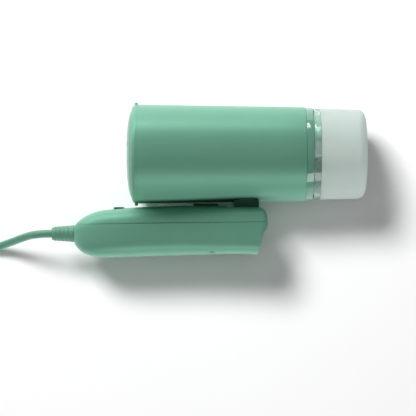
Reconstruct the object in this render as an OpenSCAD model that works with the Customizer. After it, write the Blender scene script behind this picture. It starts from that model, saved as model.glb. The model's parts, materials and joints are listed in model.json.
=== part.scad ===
// Folding handheld garment steamer, lying on its side with the handle folded under the head.
// X runs along the head towards the water tank, Y from the handle to the head, Z up from the table.

/* [Head] */
// Distance of the head axis from the origin, along Y
head_y = 19.1; // [19:0.1:19.5]
// Outer radius of the head tube at its steam end
head_front_r = 36.6; // [36.2:0.1:36.8]
// Outer radius of the head tube at its tank end
head_rear_r = 34.7; // [34.5:0.1:35]
// Wall thickness of the head tube
head_wall = 2; // [1.8:0.1:2]
// X of the steam end of the head tube
head_front_x = -61; // [-61.2:0.1:-61]
// X of the tank end of the head tube
head_rear_x = 62.5; // [62.4:0.1:62.6]
// Radius of the raised rim of the front bezel
rim_r = 37.2; // [37:0.1:37.4]
// How far the steam plate bulges in front of its edge
plate_bulge = 4.4; // [3:0.1:5]

/* [Tank] */
// X of the closed end of the water tank
tank_end_x = 107.8; // [106:0.1:109]
// Outer radius of the tank where it meets its neck
tank_front_r = 33.6; // [33.4:0.1:34]
// Outer radius of the tank near its closed end
tank_rear_r = 33; // [32.6:0.1:33.4]
// Radius of the round edge at the closed end
tank_edge_r = 6.3; // [4:0.1:8]
// Wall thickness of the tank
tank_wall = 1.8; // [1.4:0.1:2]

/* [Handle] */
// X of the hinge axis
hinge_x = 18.6; // [18.5:0.1:18.7]
// Y of the hinge axis
hinge_y = -25.2; // [-25.3:0.1:-25.1]
// Angle that the head turns through from folded to ready for use
unfold_angle = 90; // [86:1:90]
// Slant of the handle's end, from square
end_slant = 15; // [14:0.5:16]
// Distance from the hinge axis to the slanted end of the handle
end_reach = 15.9; // [15.7:0.1:16]
// Wall thickness of the handle shells
grip_wall = 2.2; // [1.8:0.1:2.4]
// Radius of the hinge pin
pin_r = 2.5; // [2.3:0.1:2.6]

/* [Buttons] */
// How far the steam trigger goes in
trigger_travel = 2; // [1:0.1:2.2]
// How far the power button goes in
button_travel = 0.8; // [0.4:0.1:0.8]

/* [Cord] */
// Radius of the mains cord
cord_r = 2.9; // [2.8:0.1:3]
// Length of each plug pin
plug_pin_len = 19; // [18:0.5:20]
// Distance between the plug pins
plug_pin_pitch = 19; // [18:0.5:19]

/* [Hidden] */
$fn = 48;
mid_z = rim_r;
head_len = head_rear_x - head_front_x;
hinge_drop = head_y - hinge_y;
mint = [0.46, 0.70, 0.60];
dark_mint = [0.30, 0.52, 0.43];
clear_mint = [0.75, 0.88, 0.83, 0.6];
metal = [0.75, 0.76, 0.78];
brass = [0.78, 0.66, 0.38];
copper = [0.75, 0.44, 0.26];
rubber = [0.22, 0.24, 0.24];
white_rubber = [0.9, 0.9, 0.88];
board_green = [0.12, 0.38, 0.24];

// Handle outline: [x, y] along its upper and lower edges, and [x, half width]
top_edge = [
    [-107.8, -34], [-106.6, -32], [-104.5, -29.8], [-100.9, -27.4], [-96.4, -25.2], [-92, -23.2],
    [-86, -21.9], [-78, -21.2], [-66, -20], [-50, -19.4], [-30, -18.9], [0, -18.7], [36, -20]];
bottom_edge = [
    [-107.8, -46.5], [-106.6, -48.6], [-104.5, -51.2], [-100.9, -54], [-96.4, -55.7], [-92, -56.7],
    [-86, -57.3], [-78, -57.2], [-66, -56.8], [-50, -56.3], [-30, -55.7], [0, -54.8], [14, -54.6],
    [36, -56.4]];
half_width = [
    [-107.8, 6.3], [-106.6, 9], [-104.5, 11.5], [-100.9, 14], [-96.4, 16], [-92, 17.3], [-86, 18.6],
    [-78, 19.6], [-66, 20.2], [-50, 20.6], [-30, 21], [0, 22.4], [14, 23.4], [36, 24]];
section_half_w = 24.6;
section_half_h = 19.8;
corner_power = 0.55;
seam_nose_y = -32.2;
seam_hinge_y = -30.4;
shell_gap = 0.1;

// Hinge
knuckle_r = 8.7;
knuckle_front_x = 10.9;
knuckle_rear_x = 28.3;
knuckle_half = 14;
washer_t = 0.8;
cheek_in = 15.1;
cheek_out = 17.2;
well_r = 15.5;
well_wall = 1.6;
saddle_gap = 0.5;
ear_gap = 0.9;
cavity_reach = 6;
fold_tilt = unfold_angle - 90;

// Inside the head
plate_r = 32.8;
plate_edge_x = -64.6;
plate_back_x = -62.3;
chamber_x = -60.9;
chamber_r = 29;
lid_x = -44;
lid_back_x = -40.5;
inlet_dy = 9;
boss_ring_r = 26.5;
shield_x = -31;
tray_dy = -17;
tray_t = 2;
pump_bore_r = 5.05;
pump_half = 14;
dock_x = 44;
nozzle_tip_x = 41.5;

// Water tank
neck_x = 54;
neck_r = 31;
flange_x = 68.2;
joint_x = 73.2;

// Trigger, button and what is under them
trigger_x0 = -20;
trigger_x1 = -1.6;
trigger_half = 8;
trigger_top_y = -17.3;
trigger_lip = 1.6;
button_x0 = -78.7;
button_x1 = -71;
button_half = 4.5;
button_top_y = -20;
frame_y = -35;
clamp_x = -100;
cord_y = -39.7;
relief_end_x = -124.5;
screw_spots = [[-66, 12], [-66, -12], [-6, 14], [-6, -14]];

// Cord: route of the stretch from the strain relief to the coil
lead_route = [
    [-124.5, -39.7, 37.2], [-128, -39.8, 37.2], [-132, -39.9, 36.7], [-136.5, -40.4, 34.9],
    [-141, -41.1, 31.8], [-145.5, -42.4, 27.6], [-150, -43.9, 22.8], [-155, -45.7, 17.4],
    [-160, -47.4, 12.6], [-165.5, -49.3, 8.3], [-172, -51.4, 5], [-179, -53.3, 3.3],
    [-187, -54.9, 2.9], [-196, -56.1, 3.1], [-207, -56.7, 3.4], [-218, -56.8, 3.6], [-228, -56.8, 3.7]];
// Cord: route from the top of the coil to the plug
tail_route = [
    [-222, -45.1, 19.6], [-228, -45.2, 21.1], [-236, -45.2, 21.1], [-244, -45.2, 21.1],
    [-252, -45.2, 20.8], [-260, -45, 19.9], [-267.5, -43.6, 18.4], [-274.5, -40.4, 16.4],
    [-280.5, -35.6, 14.3], [-285, -29.4, 12.2], [-287.4, -23.6, 10.8], [-288, -18, 10]];
coil_x = -228;
coil_y = -19;
coil_r = 32;
coil_lift = 0.8;
coil_turns = 3;
plug_x = -288;
plug_y = -18;
plug_z = 10;

// ---- Placing helpers ----

// Local Z along +X, at a place given from the head axis
module on_head(x, dy = 0, dz = 0) {
    translate([x, head_y + dy, mid_z + dz]) rotate([0, 90, 0]) children();
}

// Local Z along +Z, centred on the hinge axis
module on_hinge() {
    translate([hinge_x, hinge_y, mid_z]) children();
}

// Local Z along -Y, starting at a height y
module downwards(x, y, dz = 0) {
    translate([x, y, mid_z + dz]) rotate([90, 0, 0]) children();
}

module at_head_axis_ring(r, angles) {
    for (a = angles) on_head(0, r * sin(a), r * cos(a)) children();
}

// Ring around the head axis
module head_ring(x, length, r_out, r_in) {
    on_head(x) difference() {
        cylinder(h = length, r = r_out);
        translate([0, 0, -1]) cylinder(h = length + 2, r = r_in);
    }
}

// Box given by its extents along X, along Y and half its width along Z
module span(x0, x1, y0, y1, half) {
    translate([x0, y0, mid_z - half]) cube([x1 - x0, y1 - y0, 2 * half]);
}

module screw(shank_r, shank_len, head_r, head_h) {
    cylinder(h = head_h, r = head_r);
    translate([0, 0, head_h - 0.01]) cylinder(h = shank_len + 0.01, r = shank_r);
}

// ---- Swept and lofted solids ----

function signed_power(v, e) = sign(v) * pow(abs(v), e);
function unit(v) = v / norm(v);

// Solid through a list of rings of the same number of points
module loft(rings) {
    n = len(rings[0]);
    m = len(rings);
    polyhedron(
        points = [for (r = rings) each r],
        faces = concat(
            [[for (j = [n - 1:-1:0]) j]],
            [for (i = [0:m - 2], j = [0:n - 1])
                each [[i * n + j, i * n + (j + 1) % n, (i + 1) * n + j],
                    [i * n + (j + 1) % n, (i + 1) * n + (j + 1) % n, (i + 1) * n + j]]],
            [[for (j = [0:n - 1]) (m - 1) * n + j]]));
}

function tangent(path, i) =
    unit(path[min(i + 1, len(path) - 1)] - path[max(i - 1, 0)]);

// A direction square to t that turns as little as possible from the one before
function carried(path, i) =
    i == 0 ? unit(cross(tangent(path, 0), abs(tangent(path, 0)[2]) > 0.9 ? [0, 1, 0] : [0, 0, 1]))
    : let (before = carried(path, i - 1), t = tangent(path, i)) unit(before - (before * t) * t);

module swept(path, r, sides) {
    loft([for (i = [0:len(path) - 1])
        let (t = tangent(path, i), u = carried(path, i), v = cross(t, u))
        [for (j = [0:sides - 1]) let (a = 360 * (j + 0.5) / sides)
            path[i] + r * (cos(a) * u + sin(a) * v)]]);
}

// Helical spring along local Z
module coil_spring(r, wire_r, length, turns) {
    steps = 10 * turns;
    swept([for (i = [0:steps]) [r * cos(36 * i), r * sin(36 * i),
        wire_r + (length - 2 * wire_r) * i / steps]], wire_r, 5);
}

// ---- Handle ----

// Side outline of the grip, from its nose to a chosen right end
function grip_side(inset) = concat(
    [for (p = top_edge) [max(p[0], top_edge[0][0] + inset), p[1] - inset]],
    [for (i = [len(bottom_edge) - 1:-1:0]) let (p = bottom_edge[i])
        [max(p[0], bottom_edge[0][0] + inset), p[1] + inset]]);

function grip_plan(inset) = concat(
    [for (p = half_width) [max(p[0], half_width[0][0] + inset), p[1] - inset]],
    [for (i = [len(half_width) - 1:-1:0]) let (p = half_width[i])
        [max(p[0], half_width[0][0] + inset), inset - p[1]]]);

function grip_section(inset) = [for (i = [0:23]) let (a = 15 * i + 7.5)
    [(section_half_w - inset) * signed_power(cos(a), corner_power),
        (section_half_h - inset) * signed_power(sin(a), corner_power)]];

// Rounded solid of the whole grip, made from its side, plan and end outlines
module grip_solid(inset) intersection() {
    translate([0, 0, mid_z - 30]) linear_extrude(60) polygon(grip_side(inset));
    translate([0, 0, mid_z]) rotate([90, 0, 0]) linear_extrude(70) polygon(grip_plan(inset));
    translate([-120, -37.6, mid_z]) rotate([90, 0, 90]) linear_extrude(170)
        polygon(grip_section(inset));
    translate([-108, -40, mid_z]) rotate([0, 90, 0]) rotate_extrude() polygon([
        [0, 0], [8.6 - inset, 0], [14.6 - inset, 3.2], [19.4 - inset, 9], [23.4 - inset, 17],
        [27 - inset, 30], [40, 60], [40, 150], [0, 150]]);
}

// Side outline of everything that doesn't face the swinging head
module behind_hinge(reach) {
    corner = reach * [cos(-end_slant), sin(-end_slant)];
    polygon([[0, 60], [0, 0], corner,
        corner + 60 * [cos(-90 - end_slant), sin(-90 - end_slant)], [-140, -60], [-140, 60]]);
}

// Distance from the hinge axis to the head's surface, at an offset w along the axis
function head_clear(w) = hinge_drop - sqrt(pow(head_rear_r + 0.8, 2) - w * w);

ear_steps = [0, 8, 14, 18, 20.5];

// Cheeks at the hinge: rounded so that the head clears them as it turns
module ears() on_hinge() rotate_extrude() polygon(concat(
    [[0, -26]], [[end_reach, -26]],
    [for (i = [len(ear_steps) - 1:-1:0]) [head_clear(ear_steps[i]) - ear_gap, -ear_steps[i]]],
    [for (i = [1:len(ear_steps) - 1]) [head_clear(ear_steps[i]) - ear_gap, ear_steps[i]]],
    [[end_reach, 26], [0, 26]]));

// Room for the unfolded head in the slanted end of the handle
module saddle() on_hinge() rotate([0, 0, -fold_tilt]) translate([0, 1, 0]) rotate([90, 0, 0])
    linear_extrude(60) polygon(concat(
        [for (i = [len(ear_steps) - 1:-1:0]) [head_clear(ear_steps[i]) - saddle_gap, -ear_steps[i]]],
        [for (i = [1:len(ear_steps) - 1]) [head_clear(ear_steps[i]) - saddle_gap, ear_steps[i]]],
        [[19, 23.4], [40, 23.4], [40, -23.4], [19, -23.4]]));

// Hollow of the grip: up to the hinge well, and under it as far as the saddle
module grip_cavity() intersection() {
    grip_solid(grip_wall);
    on_hinge() translate([0, 0, -30]) linear_extrude(60) {
        side = -well_r - grip_wall;
        polygon([[-140, 60], [side, 60], [side, side], [cavity_reach, side],
            [cavity_reach, -40], [-140, -40]]);
    }
}

module grip_shell() difference() {
    intersection() {
        grip_solid(0);
        union() {
            ears();
            on_hinge() translate([0, 0, -30]) linear_extrude(60) behind_hinge(end_reach);
        }
    }
    grip_cavity();
    saddle();
    on_hinge() cylinder(h = 2 * cheek_in, r = well_r, center = true);
    on_hinge() cylinder(h = 2 * cheek_out + 3.6, r = pin_r + 0.02, center = true);
    for (side = [-1, 1]) on_hinge() translate([0, 0, side * (cheek_out + 1) - 1])
        cylinder(h = 2, r = 4.6);
}

// Everything above or below the seam between the two handle shells
module seam_side(above) {
    far = above ? 60 : -90;
    step = above ? shell_gap / 2 : -shell_gap / 2;
    translate([0, 0, mid_z - 40]) linear_extrude(80)
        polygon([[-140, seam_nose_y + step - 0.4], [50, seam_hinge_y + step],
            [50, far], [-140, far]]);
}

// Tubular post from y0 up to y1
module post(x, dz, y0, y1, r, bore_r) {
    downwards(x, y1, dz) difference() {
        cylinder(h = y1 - y0, r = r);
        translate([0, 0, -1]) cylinder(h = y1 - y0 + 2, r = bore_r);
    }
}

module handle_back_shell() color(mint) {
    difference() {
        intersection() {
            grip_shell();
            seam_side(false);
        }
        for (s = screw_spots) downwards(s[0], -50, s[1]) cylinder(h = 20, r = 3);
        on_relief_axis(-112) cylinder(h = 10, r = 4.7);
    }
    for (s = screw_spots) {
        post(s[0], s[1], -50.8, -36, 4.2, 1.7);
        post(s[0], s[1], -53.8, -50.8, 4.2, 3);
    }
    for (side = [-1, 1]) post(clamp_x + 3, side * 6.5, -53.9, -46.1, 2.6, 1.4);
}

module handle_front_cover() color(mint) {
    difference() {
        intersection() {
            grip_shell();
            seam_side(true);
        }
        span(trigger_x0 - 0.4, trigger_x1 + 0.4, -26, -10, trigger_half + 0.4);
        span(button_x0 - 0.3, button_x1 + 0.3, -26, -10, button_half + 0.3);
    }
    for (s = screw_spots) post(s[0], s[1], -35.9, -21.4, 3.4, 1.35);
}

module handle_screws() color(metal) for (s = screw_spots)
    translate([s[0], -53.2, mid_z + s[1]]) rotate([-90, 0, 0]) screw(1.25, 22, 2.7, 2.2);

// ---- Hinge ----

module hinge_pin() color(metal)
    on_hinge() cylinder(h = 2 * cheek_out + 3.4, r = pin_r, center = true);

module hinge_clips() color(metal) for (side = [-1, 1])
    on_hinge() translate([0, 0, side * (cheek_out + 0.8) - 0.4]) difference() {
        cylinder(h = 0.8, r = 4.2);
        translate([0, 0, -1]) cylinder(h = 3, r = pin_r + 0.02);
        translate([0, -1.2, -1]) cube([8, 2.4, 3]);
    }

module hinge_washers() color(white_rubber) for (side = [-1, 1])
    on_hinge() translate([0, 0, side * 14.6 - washer_t / 2]) difference() {
        cylinder(h = washer_t, r = 5.2);
        translate([0, 0, -1]) cylinder(h = 3, r = pin_r + 0.05);
    }

module head_cone(gap) {
    on_head(head_front_x) cylinder(h = head_len, r1 = head_front_r + gap, r2 = head_rear_r + gap);
}

module bracket_screw_spots(y) {
    for (x = [14.5, 24.5], dz = [-9, 9]) downwards(x, y, dz) children();
}

module hinge_bracket() color(dark_mint) difference() {
    union() {
        on_hinge() cylinder(h = 2 * knuckle_half, r = knuckle_r, center = true);
        span(knuckle_front_x, knuckle_rear_x, hinge_y, -11.2, knuckle_half);
        on_hinge() translate([0.9, -1.6, 0]) intersection() {
            cylinder(h = 2 * knuckle_half, r = 13.9, center = true);
            translate([-8.4, 0, -20]) cube([16.8, 20, 40]);
        }
    }
    head_cone(0.05);
    on_hinge() cylinder(h = 40, r = pin_r + 0.05, center = true);
    bracket_screw_spots(-10) cylinder(h = 11.2, r = 1.52);
}

module bracket_screws() color(metal)
    bracket_screw_spots(-10.2) screw(1.5, 8.6, 2.7, 2);

// ---- Head casing ----

module head_shell() color(mint) difference() {
    head_cone(0);
    on_head(head_front_x - 1) cylinder(h = head_len + 2,
        r1 = head_front_r - head_wall, r2 = head_rear_r - head_wall);
    bracket_screw_spots(-10) cylinder(h = 11.2, r = 1.6);
    for (x = [-17, 37], dz = [-14, 14]) downwards(x, -8, dz) cylinder(h = 14, r = 1.3);
}

module front_bezel() color(mint) {
    rear = 2.1 + head_front_x - plate_edge_x;
    on_head(plate_edge_x - 0.4) rotate_extrude() polygon([
        [plate_r + 0.15, 0], [34.3, 0], [rim_r, 1.9], [rim_r, 4], [34.4, 4], [34.4, rear + 2],
        [plate_r + 0.15, rear + 2]]);
    for (side = [-1, 1]) translate([-63.1, head_y + side * 37 - 1.2, mid_z - 4])
        cube([2.1, 2.4, 8]);
}

function bulge(r) = plate_bulge * pow(1 - pow(r / plate_r, 2.6), 0.5);

module steam_plate() color(dark_mint) difference() {
    on_head(plate_edge_x) rotate_extrude() polygon(concat(
        [[0, plate_back_x - plate_edge_x], [plate_r, plate_back_x - plate_edge_x]],
        [for (i = [16:-1:0]) let (r = plate_r * sin(90 * i / 16)) [r, -bulge(r)]]));
    for (ring = [[13, 6, 0], [22, 10, 18]], i = [0:ring[1] - 1])
        let (a = 360 * i / ring[1] + ring[2])
        on_head(-75, ring[0] * sin(a), ring[0] * cos(a)) cylinder(h = 20, r = 1.5);
}

module plate_gasket() color(white_rubber) head_ring(plate_back_x, 1.4, 28.4, 24.6);

// ---- Steam generator ----

module steam_chamber() color(metal) difference() {
    on_head(chamber_x) cylinder(h = lid_x - chamber_x, r = chamber_r);
    on_head(chamber_x - 1) cylinder(h = 12.9, r = 24);
    at_head_axis_ring(boss_ring_r, [45:90:315]) translate([0, 0, -55])
        cylinder(h = 12, r = 1.3);
    on_head(-50, inlet_dy) cylinder(h = 8, r = 1.5);
}

module chamber_lid() color(metal) difference() {
    union() {
        on_head(lid_x) cylinder(h = lid_back_x - lid_x, r = chamber_r);
        on_head(lid_back_x - 0.5, inlet_dy) cylinder(h = 6, r = 1.9);
    }
    at_head_axis_ring(boss_ring_r, [45:90:315]) translate([0, 0, -46])
        cylinder(h = 8, r = 1.4);
    on_head(-46, inlet_dy) cylinder(h = 16, r = 1);
}

module chamber_screws() color(metal) at_head_axis_ring(boss_ring_r, [45:90:315])
    translate([0, 0, -38.3]) mirror([0, 0, 1]) screw(1.25, 12, 2.4, 2.2);

module heating_element() color(metal) {
    on_head(-37.3) rotate_extrude(angle = 300) translate([18, 0]) circle(r = 3);
    for (a = [0, 300]) on_head(-37.3) rotate([0, 0, a])
        translate([18, 0, 0]) cylinder(h = 6, r = 1.6);
}

module thermostat() color(brass) {
    on_head(lid_back_x + 0.05, -3) cylinder(h = 5, r = 6.5);
    for (side = [-1, 1]) translate([-35.6, head_y - 3.4, mid_z + side * 3.5 - 1.5])
        cube([3.6, 0.8, 3]);
}

module thermal_fuse() color(white_rubber)
    translate([lid_back_x + 2.1, head_y - 24.6, mid_z]) cylinder(h = 12, r = 2, center = true);

module heat_shield() color(metal) {
    difference() {
        on_head(shield_x) cylinder(h = 1, r = 33.8);
        on_head(shield_x - 1, inlet_dy - 3) cylinder(h = 3, r = 8);
    }
    for (a = [0, 120, 240]) on_head(lid_back_x + 0.02, 25.6 * sin(a), 25.6 * cos(a))
        cylinder(h = shield_x - lid_back_x, r = 1.8);
}

// ---- Pump ----

module inner_tray() color(rubber) difference() {
    union() {
        span(-29.9, dock_x - 0.05, head_y + tray_dy, head_y + tray_dy + tray_t, 24);
        for (x = [-20, 34], side = [-1, 1])
            translate([x, head_y - 29, mid_z + side * 14 - 3]) cube([6, 12.5, 6]);
    }
    for (x = [-17, 37], dz = [-14, 14]) downwards(x, head_y - 10, dz) cylinder(h = 22, r = 1.4);
    span(11, 28, head_y - 20, head_y - 10, 12);
}

module tray_screws() color(metal) for (x = [-17, 37], dz = [-14, 14])
    downwards(x, head_y - 12.9, dz) screw(1.25, 15, 2.5, 2);

module pump_body() color([0.3, 0.32, 0.35]) difference() {
    union() {
        on_head(-11) translate([-pump_half, -pump_half, 0])
            cube([2 * pump_half, 2 * pump_half, 28]);
        on_head(-18) cylinder(h = 42, r = 9);
        on_head(-24) cylinder(h = 54, r = 2.3);
    }
    on_head(-9) difference() {
        cylinder(h = 24, r = 13.1);
        translate([0, 0, -1]) cylinder(h = 26, r = 6.1);
    }
    span(-7, 13, head_y - 8, head_y + 8, 20);
    on_head(-16) cylinder(h = 38, r = pump_bore_r);
    on_head(-30) cylinder(h = 70, r = 1.1);
}

module pump_coil() color(copper) head_ring(-8.6, 23.2, 12.6, 6.3);

module pump_mounts() color(rubber) for (x = [-17, 19]) difference() {
    union() {
        on_head(x) cylinder(h = 4, r = 11.5);
        translate([x, head_y + tray_dy + tray_t + 0.05, mid_z - 6]) cube([4, 8, 12]);
    }
    on_head(x - 1) cylinder(h = 6, r = 9.03);
}

module pump_piston() color(metal) on_head(-7) difference() {
    cylinder(h = 16, r = pump_bore_r - 0.05);
    translate([0, 0, -1]) cylinder(h = 20, r = 1.2);
}

module pump_spring() color(metal) on_head(-15.9) coil_spring(3.4, 0.45, 8.8, 5);

module outlet_hose() color(white_rubber) difference() {
    swept([for (p = [[-19.2, 0], [-24, 0.2], [-27, 1.6], [-29.5, 4.5], [-32, 7.4], [-34.5, 8.8],
        [-39.8, 9]]) [p[0], head_y + p[1], mid_z]], 2.9, 10);
    on_head(-25, 0) cylinder(h = 8, r = 2.4);
    on_head(-42, inlet_dy) cylinder(h = 7.2, r = 2);
}

module inlet_hose() color(white_rubber) head_ring(25, 12.5, 3.4, 2.4);

// ---- Tank dock ----

module tank_dock() color(mint) difference() {
    union() {
        on_head(dock_x) cylinder(h = 3, r = 32.6);
        on_head(38) cylinder(h = 9, r = 7);
        on_head(32) cylinder(h = 7, r = 2.3);
    }
    difference() {
        on_head(40) cylinder(h = 8, r = 4.2);
        on_head(39.5) cylinder(h = 1.4, r = 0.8);
    }
    on_head(44.4) cylinder(h = 1.6, r = 5.4);
    on_head(31) cylinder(h = 7.6, r = 1.1);
    on_head(38.5) cylinder(h = 0.8, r = 2.6);
    for (a = [30:120:270]) on_head(39, 1.9 * sin(a), 1.9 * cos(a)) cylinder(h = 2, r = 0.6);
}

module dock_seal() color(rubber) head_ring(44.5, 1.4, 5.3, 4);

module tank_collar() color(mint) difference() {
    union() {
        on_head(57) cylinder(h = 6, r = 32.6);
        on_head(head_rear_x) cylinder(h = 5.4, r = 34.4);
    }
    on_head(56) cylinder(h = 20, r = neck_r + 0.4);
}

// ---- Water tank ----

function tank_profile(inset) =
    let (r0 = tank_front_r - inset, r1 = tank_rear_r - inset, e = tank_edge_r - inset,
        far = tank_end_x - inset - joint_x)
    concat([[0, 0], [r0, 0]],
        [for (i = [0:6]) let (a = 15 * i)
            [r1 - e + e * cos(a), far - 1 - e + e * sin(a)]],
        [[(r1 - e) * 0.5, far - 0.25], [0, far]]);

module tank_shell() color(clear_mint) on_head(joint_x) difference() {
    rotate_extrude() polygon(tank_profile(0));
    translate([0, 0, -0.01]) rotate_extrude() polygon(tank_profile(tank_wall));
}

module tank_neck() color(clear_mint) difference() {
    union() {
        on_head(neck_x) cylinder(h = 15, r = neck_r);
        on_head(flange_x) cylinder(h = joint_x - flange_x, r = 34);
        on_head(nozzle_tip_x) cylinder(h = 14, r = 3.9);
    }
    on_head(neck_x + 2) difference() {
        cylinder(h = 30, r = neck_r - tank_wall);
        translate([0, 0, -1]) cylinder(h = 5, r = 3.6);
    }
    on_head(59) difference() {
        cylinder(h = 2, r = 40);
        translate([0, 0, -1]) cylinder(h = 4, r = 30.2);
    }
    on_head(nozzle_tip_x - 1) cylinder(h = 30, r = 1.5);
    on_head(43.5) cylinder(h = 10.1, r = 2.6);
    on_head(neck_x - 1, 17) cylinder(h = 5, r = 5);
}

module neck_seal() color(rubber) head_ring(59.1, 1.8, 31.2, 30.25);

module fill_stopper() color(rubber) {
    on_head(neck_x - 1.8, 17) cylinder(h = 1.75, r = 7.5);
    on_head(neck_x - 0.1, 17) cylinder(h = 3.2, r = 4.9);
}

module pickup_hose() color(white_rubber)
    swept([for (p = [[60.1, 0], [64, -0.1], [69, -1], [74, -3.4], [79, -7.2], [84, -11.8],
        [88.5, -15.8], [92, -18]]) [p[0], head_y + p[1], mid_z]], 2.2, 10);

module pickup_weight() color(metal)
    translate([92.1, head_y - 18.1, mid_z]) rotate([0, 0, -30]) rotate([0, 90, 0])
        cylinder(h = 9, r = 4);

module valve_spring() color(metal) on_head(46.7) coil_spring(1.9, 0.3, 6.7, 6);

module valve_poppet() color(brass) {
    on_head(41) cylinder(h = 4, r = 1.1);
    on_head(44) cylinder(h = 2.5, r = 2.4);
}

// ---- Controls in the handle ----

module steam_trigger() color(dark_mint) {
    span(trigger_x0, trigger_x1, -23, trigger_top_y, trigger_half);
    span(trigger_x0 - trigger_lip, trigger_x1 + trigger_lip, -23.8, -21.9,
        trigger_half + trigger_lip);
}

module power_button() color(dark_mint) {
    span(button_x0, button_x1, -26, button_top_y, button_half);
    span(button_x0 - 1.2, button_x1 + 1.2, -26.8, -25, button_half + 1.2);
}

module trigger_frame() color(rubber) {
    span(trigger_x0 - 7, trigger_x1 + 1.8, frame_y - 2, frame_y, 9);
    for (side = [-1, 1]) translate([trigger_x0 - 7, frame_y - 1, mid_z + side * 8 - 1])
        cube([4, 12.4, 2]);
}

module microswitch() color([0.15, 0.15, 0.17]) {
    span(trigger_x0 + 6.6, trigger_x1 + 1, frame_y + 0.02, -29, 3);
    span(trigger_x0 + 10, trigger_x0 + 12.8, -29.5, -26.2, 1.2);
}

module trigger_spring() color(metal)
    downwards(trigger_x0 + 3, -23.9) coil_spring(2.6, 0.4, 11, 6);

module control_board() color(board_green) {
    span(-62, -14, -46.6, -45, 14);
    span(-58, -44, -45.2, -38.5, 6);
    span(-40, -28, -45.2, -38.8, 8);
    for (dz = [-9, 9]) downwards(-20, -38.6, dz) cylinder(h = 6.6, r = 3);
    for (x = [-60, -16], dz = [-11, 11]) downwards(x, -46.4, dz) cylinder(h = 4.5, r = 1.6);
}

module button_board() color(board_green) span(-84, -67, -33, -31.4, 8.5);

module tact_switch() color([0.15, 0.15, 0.17]) {
    span(-77.9, -71.9, -31.38, -28.6, 3);
    downwards(-74.9, -27.7) cylinder(h = 1.2, r = 1.7);
}

module terminal_block() color(white_rubber) span(-89, -79, -45, -36.5, 7);

// ---- Mains cord ----

module on_relief_axis(x) {
    translate([x, cord_y, mid_z]) rotate([0, 90, 0]) children();
}

module cord_clamp() color(rubber) difference() {
    span(clamp_x, clamp_x + 6, -46, -34, 8.8);
    on_relief_axis(clamp_x - 1) cylinder(h = 8, r = cord_r + 0.05);
    for (side = [-1, 1]) downwards(clamp_x + 3, -30, side * 6.5) cylinder(h = 20, r = 1.4);
}

module clamp_screws() color(metal) for (side = [-1, 1])
    downwards(clamp_x + 3, -32.2, side * 6.5) screw(1.25, 17, 2.2, 1.7);

module strain_relief() color(mint) on_relief_axis(0) difference() {
    union() {
        translate([0, 0, relief_end_x]) cylinder(h = -107.9 - relief_end_x, r1 = 4.6, r2 = 6.3);
        translate([0, 0, -108]) cylinder(h = 5, r = 4.5);
        translate([0, 0, -104.6]) cylinder(h = 2.6, r = 7);
    }
    translate([0, 0, relief_end_x - 1]) cylinder(h = 40, r = cord_r + 0.05);
}

module cord_inner() color(mint)
    on_relief_axis(relief_end_x) cylinder(h = 31.5, r = cord_r);

module handle_wiring() color([0.5, 0.35, 0.25]) for (lane = [-1, 1]) {
    swept([for (p = [[-92.9, cord_y, 1.5], [-92.2, cord_y, 1.5], [-91, cord_y - 0.3, 2],
        [-90, cord_y - 0.6, 2.5], [-89.1, cord_y - 0.6, 2.5]])
        [p[0], p[1], mid_z + lane * p[2]]], 0.9, 6);
    swept([for (p = [[-78.9, -40, 3], [-77.4, -40, 3], [-73, -40.6, 3.8], [-67.5, -42.8, 4.9],
        [-62.5, -44, 5.6]]) [p[0], p[1], mid_z + lane * p[2]]], 0.9, 6);
    swept([for (p = [[-14, -44.1, 9], [-8, -43.9, 8], [0, -44.4, 6], [8, -46, 4]])
        [p[0], p[1], mid_z + lane * p[2]]], 0.9, 6);
}

module cord_lead() color(mint) swept(lead_route, cord_r, 10);

module cord_tail() color(mint) swept(tail_route, cord_r, 10);

module cord_coil() color(mint) translate([coil_x, coil_y, coil_lift]) difference() {
    half = coil_turns * cord_r;
    cylinder(h = 2 * half, r = coil_r + half);
    translate([0, 0, -1]) cylinder(h = 2 * half + 2, r = coil_r - half);
}

module cord_tie() color(rubber) translate([coil_x, coil_y, 0]) rotate([0, 0, 35]) difference() {
    half = coil_turns * cord_r;
    translate([coil_r - half - 0.8, -4, 0]) cube([2 * half + 1.6, 8, 2 * half + 1.6]);
    translate([coil_r - half - 0.05, -5, 0.8]) cube([2 * half + 0.1, 10, 2 * half + 0.05]);
}

module plug_body() color(mint) {
    translate([plug_x, plug_y, plug_z]) rotate([-90, 0, 0]) {
        cylinder(h = 9, r1 = 4.2, r2 = 6);
        translate([0, 0, 8]) hull() {
            cylinder(h = 2, r = 6.5);
            translate([-15, -9, 12]) cube([30, 18, 1]);
        }
        translate([0, 0, 20.5]) hull() for (dx = [-9, 9])
            translate([dx, 0, 0]) cylinder(h = 16, r = 10);
    }
}

module plug_pins() color(metal) for (side = [-1, 1])
    translate([plug_x + side * plug_pin_pitch / 2, plug_y + 36.5, plug_z]) rotate([-90, 0, 0])
        cylinder(h = plug_pin_len, r = 2.4);

handle_back_shell();
handle_front_cover();
handle_screws();
hinge_pin();
hinge_clips();
hinge_washers();
control_board();
trigger_frame();
microswitch();
trigger_spring();
button_board();
tact_switch();
cord_clamp();
clamp_screws();
terminal_block();
handle_wiring();
strain_relief();
cord_inner();
cord_lead();
cord_coil();
cord_tail();
cord_tie();
plug_body();
plug_pins();
steam_trigger();
power_button();
head_shell();
front_bezel();
steam_plate();
plate_gasket();
steam_chamber();
chamber_lid();
heating_element();
chamber_screws();
thermostat();
thermal_fuse();
heat_shield();
inner_tray();
tray_screws();
pump_body();
pump_coil();
pump_mounts();
outlet_hose();
inlet_hose();
tank_dock();
dock_seal();
tank_collar();
hinge_bracket();
bracket_screws();
pump_piston();
pump_spring();
tank_shell();
tank_neck();
neck_seal();
fill_stopper();
pickup_hose();
pickup_weight();
valve_spring();
valve_poppet();
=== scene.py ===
import json
import math

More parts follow.
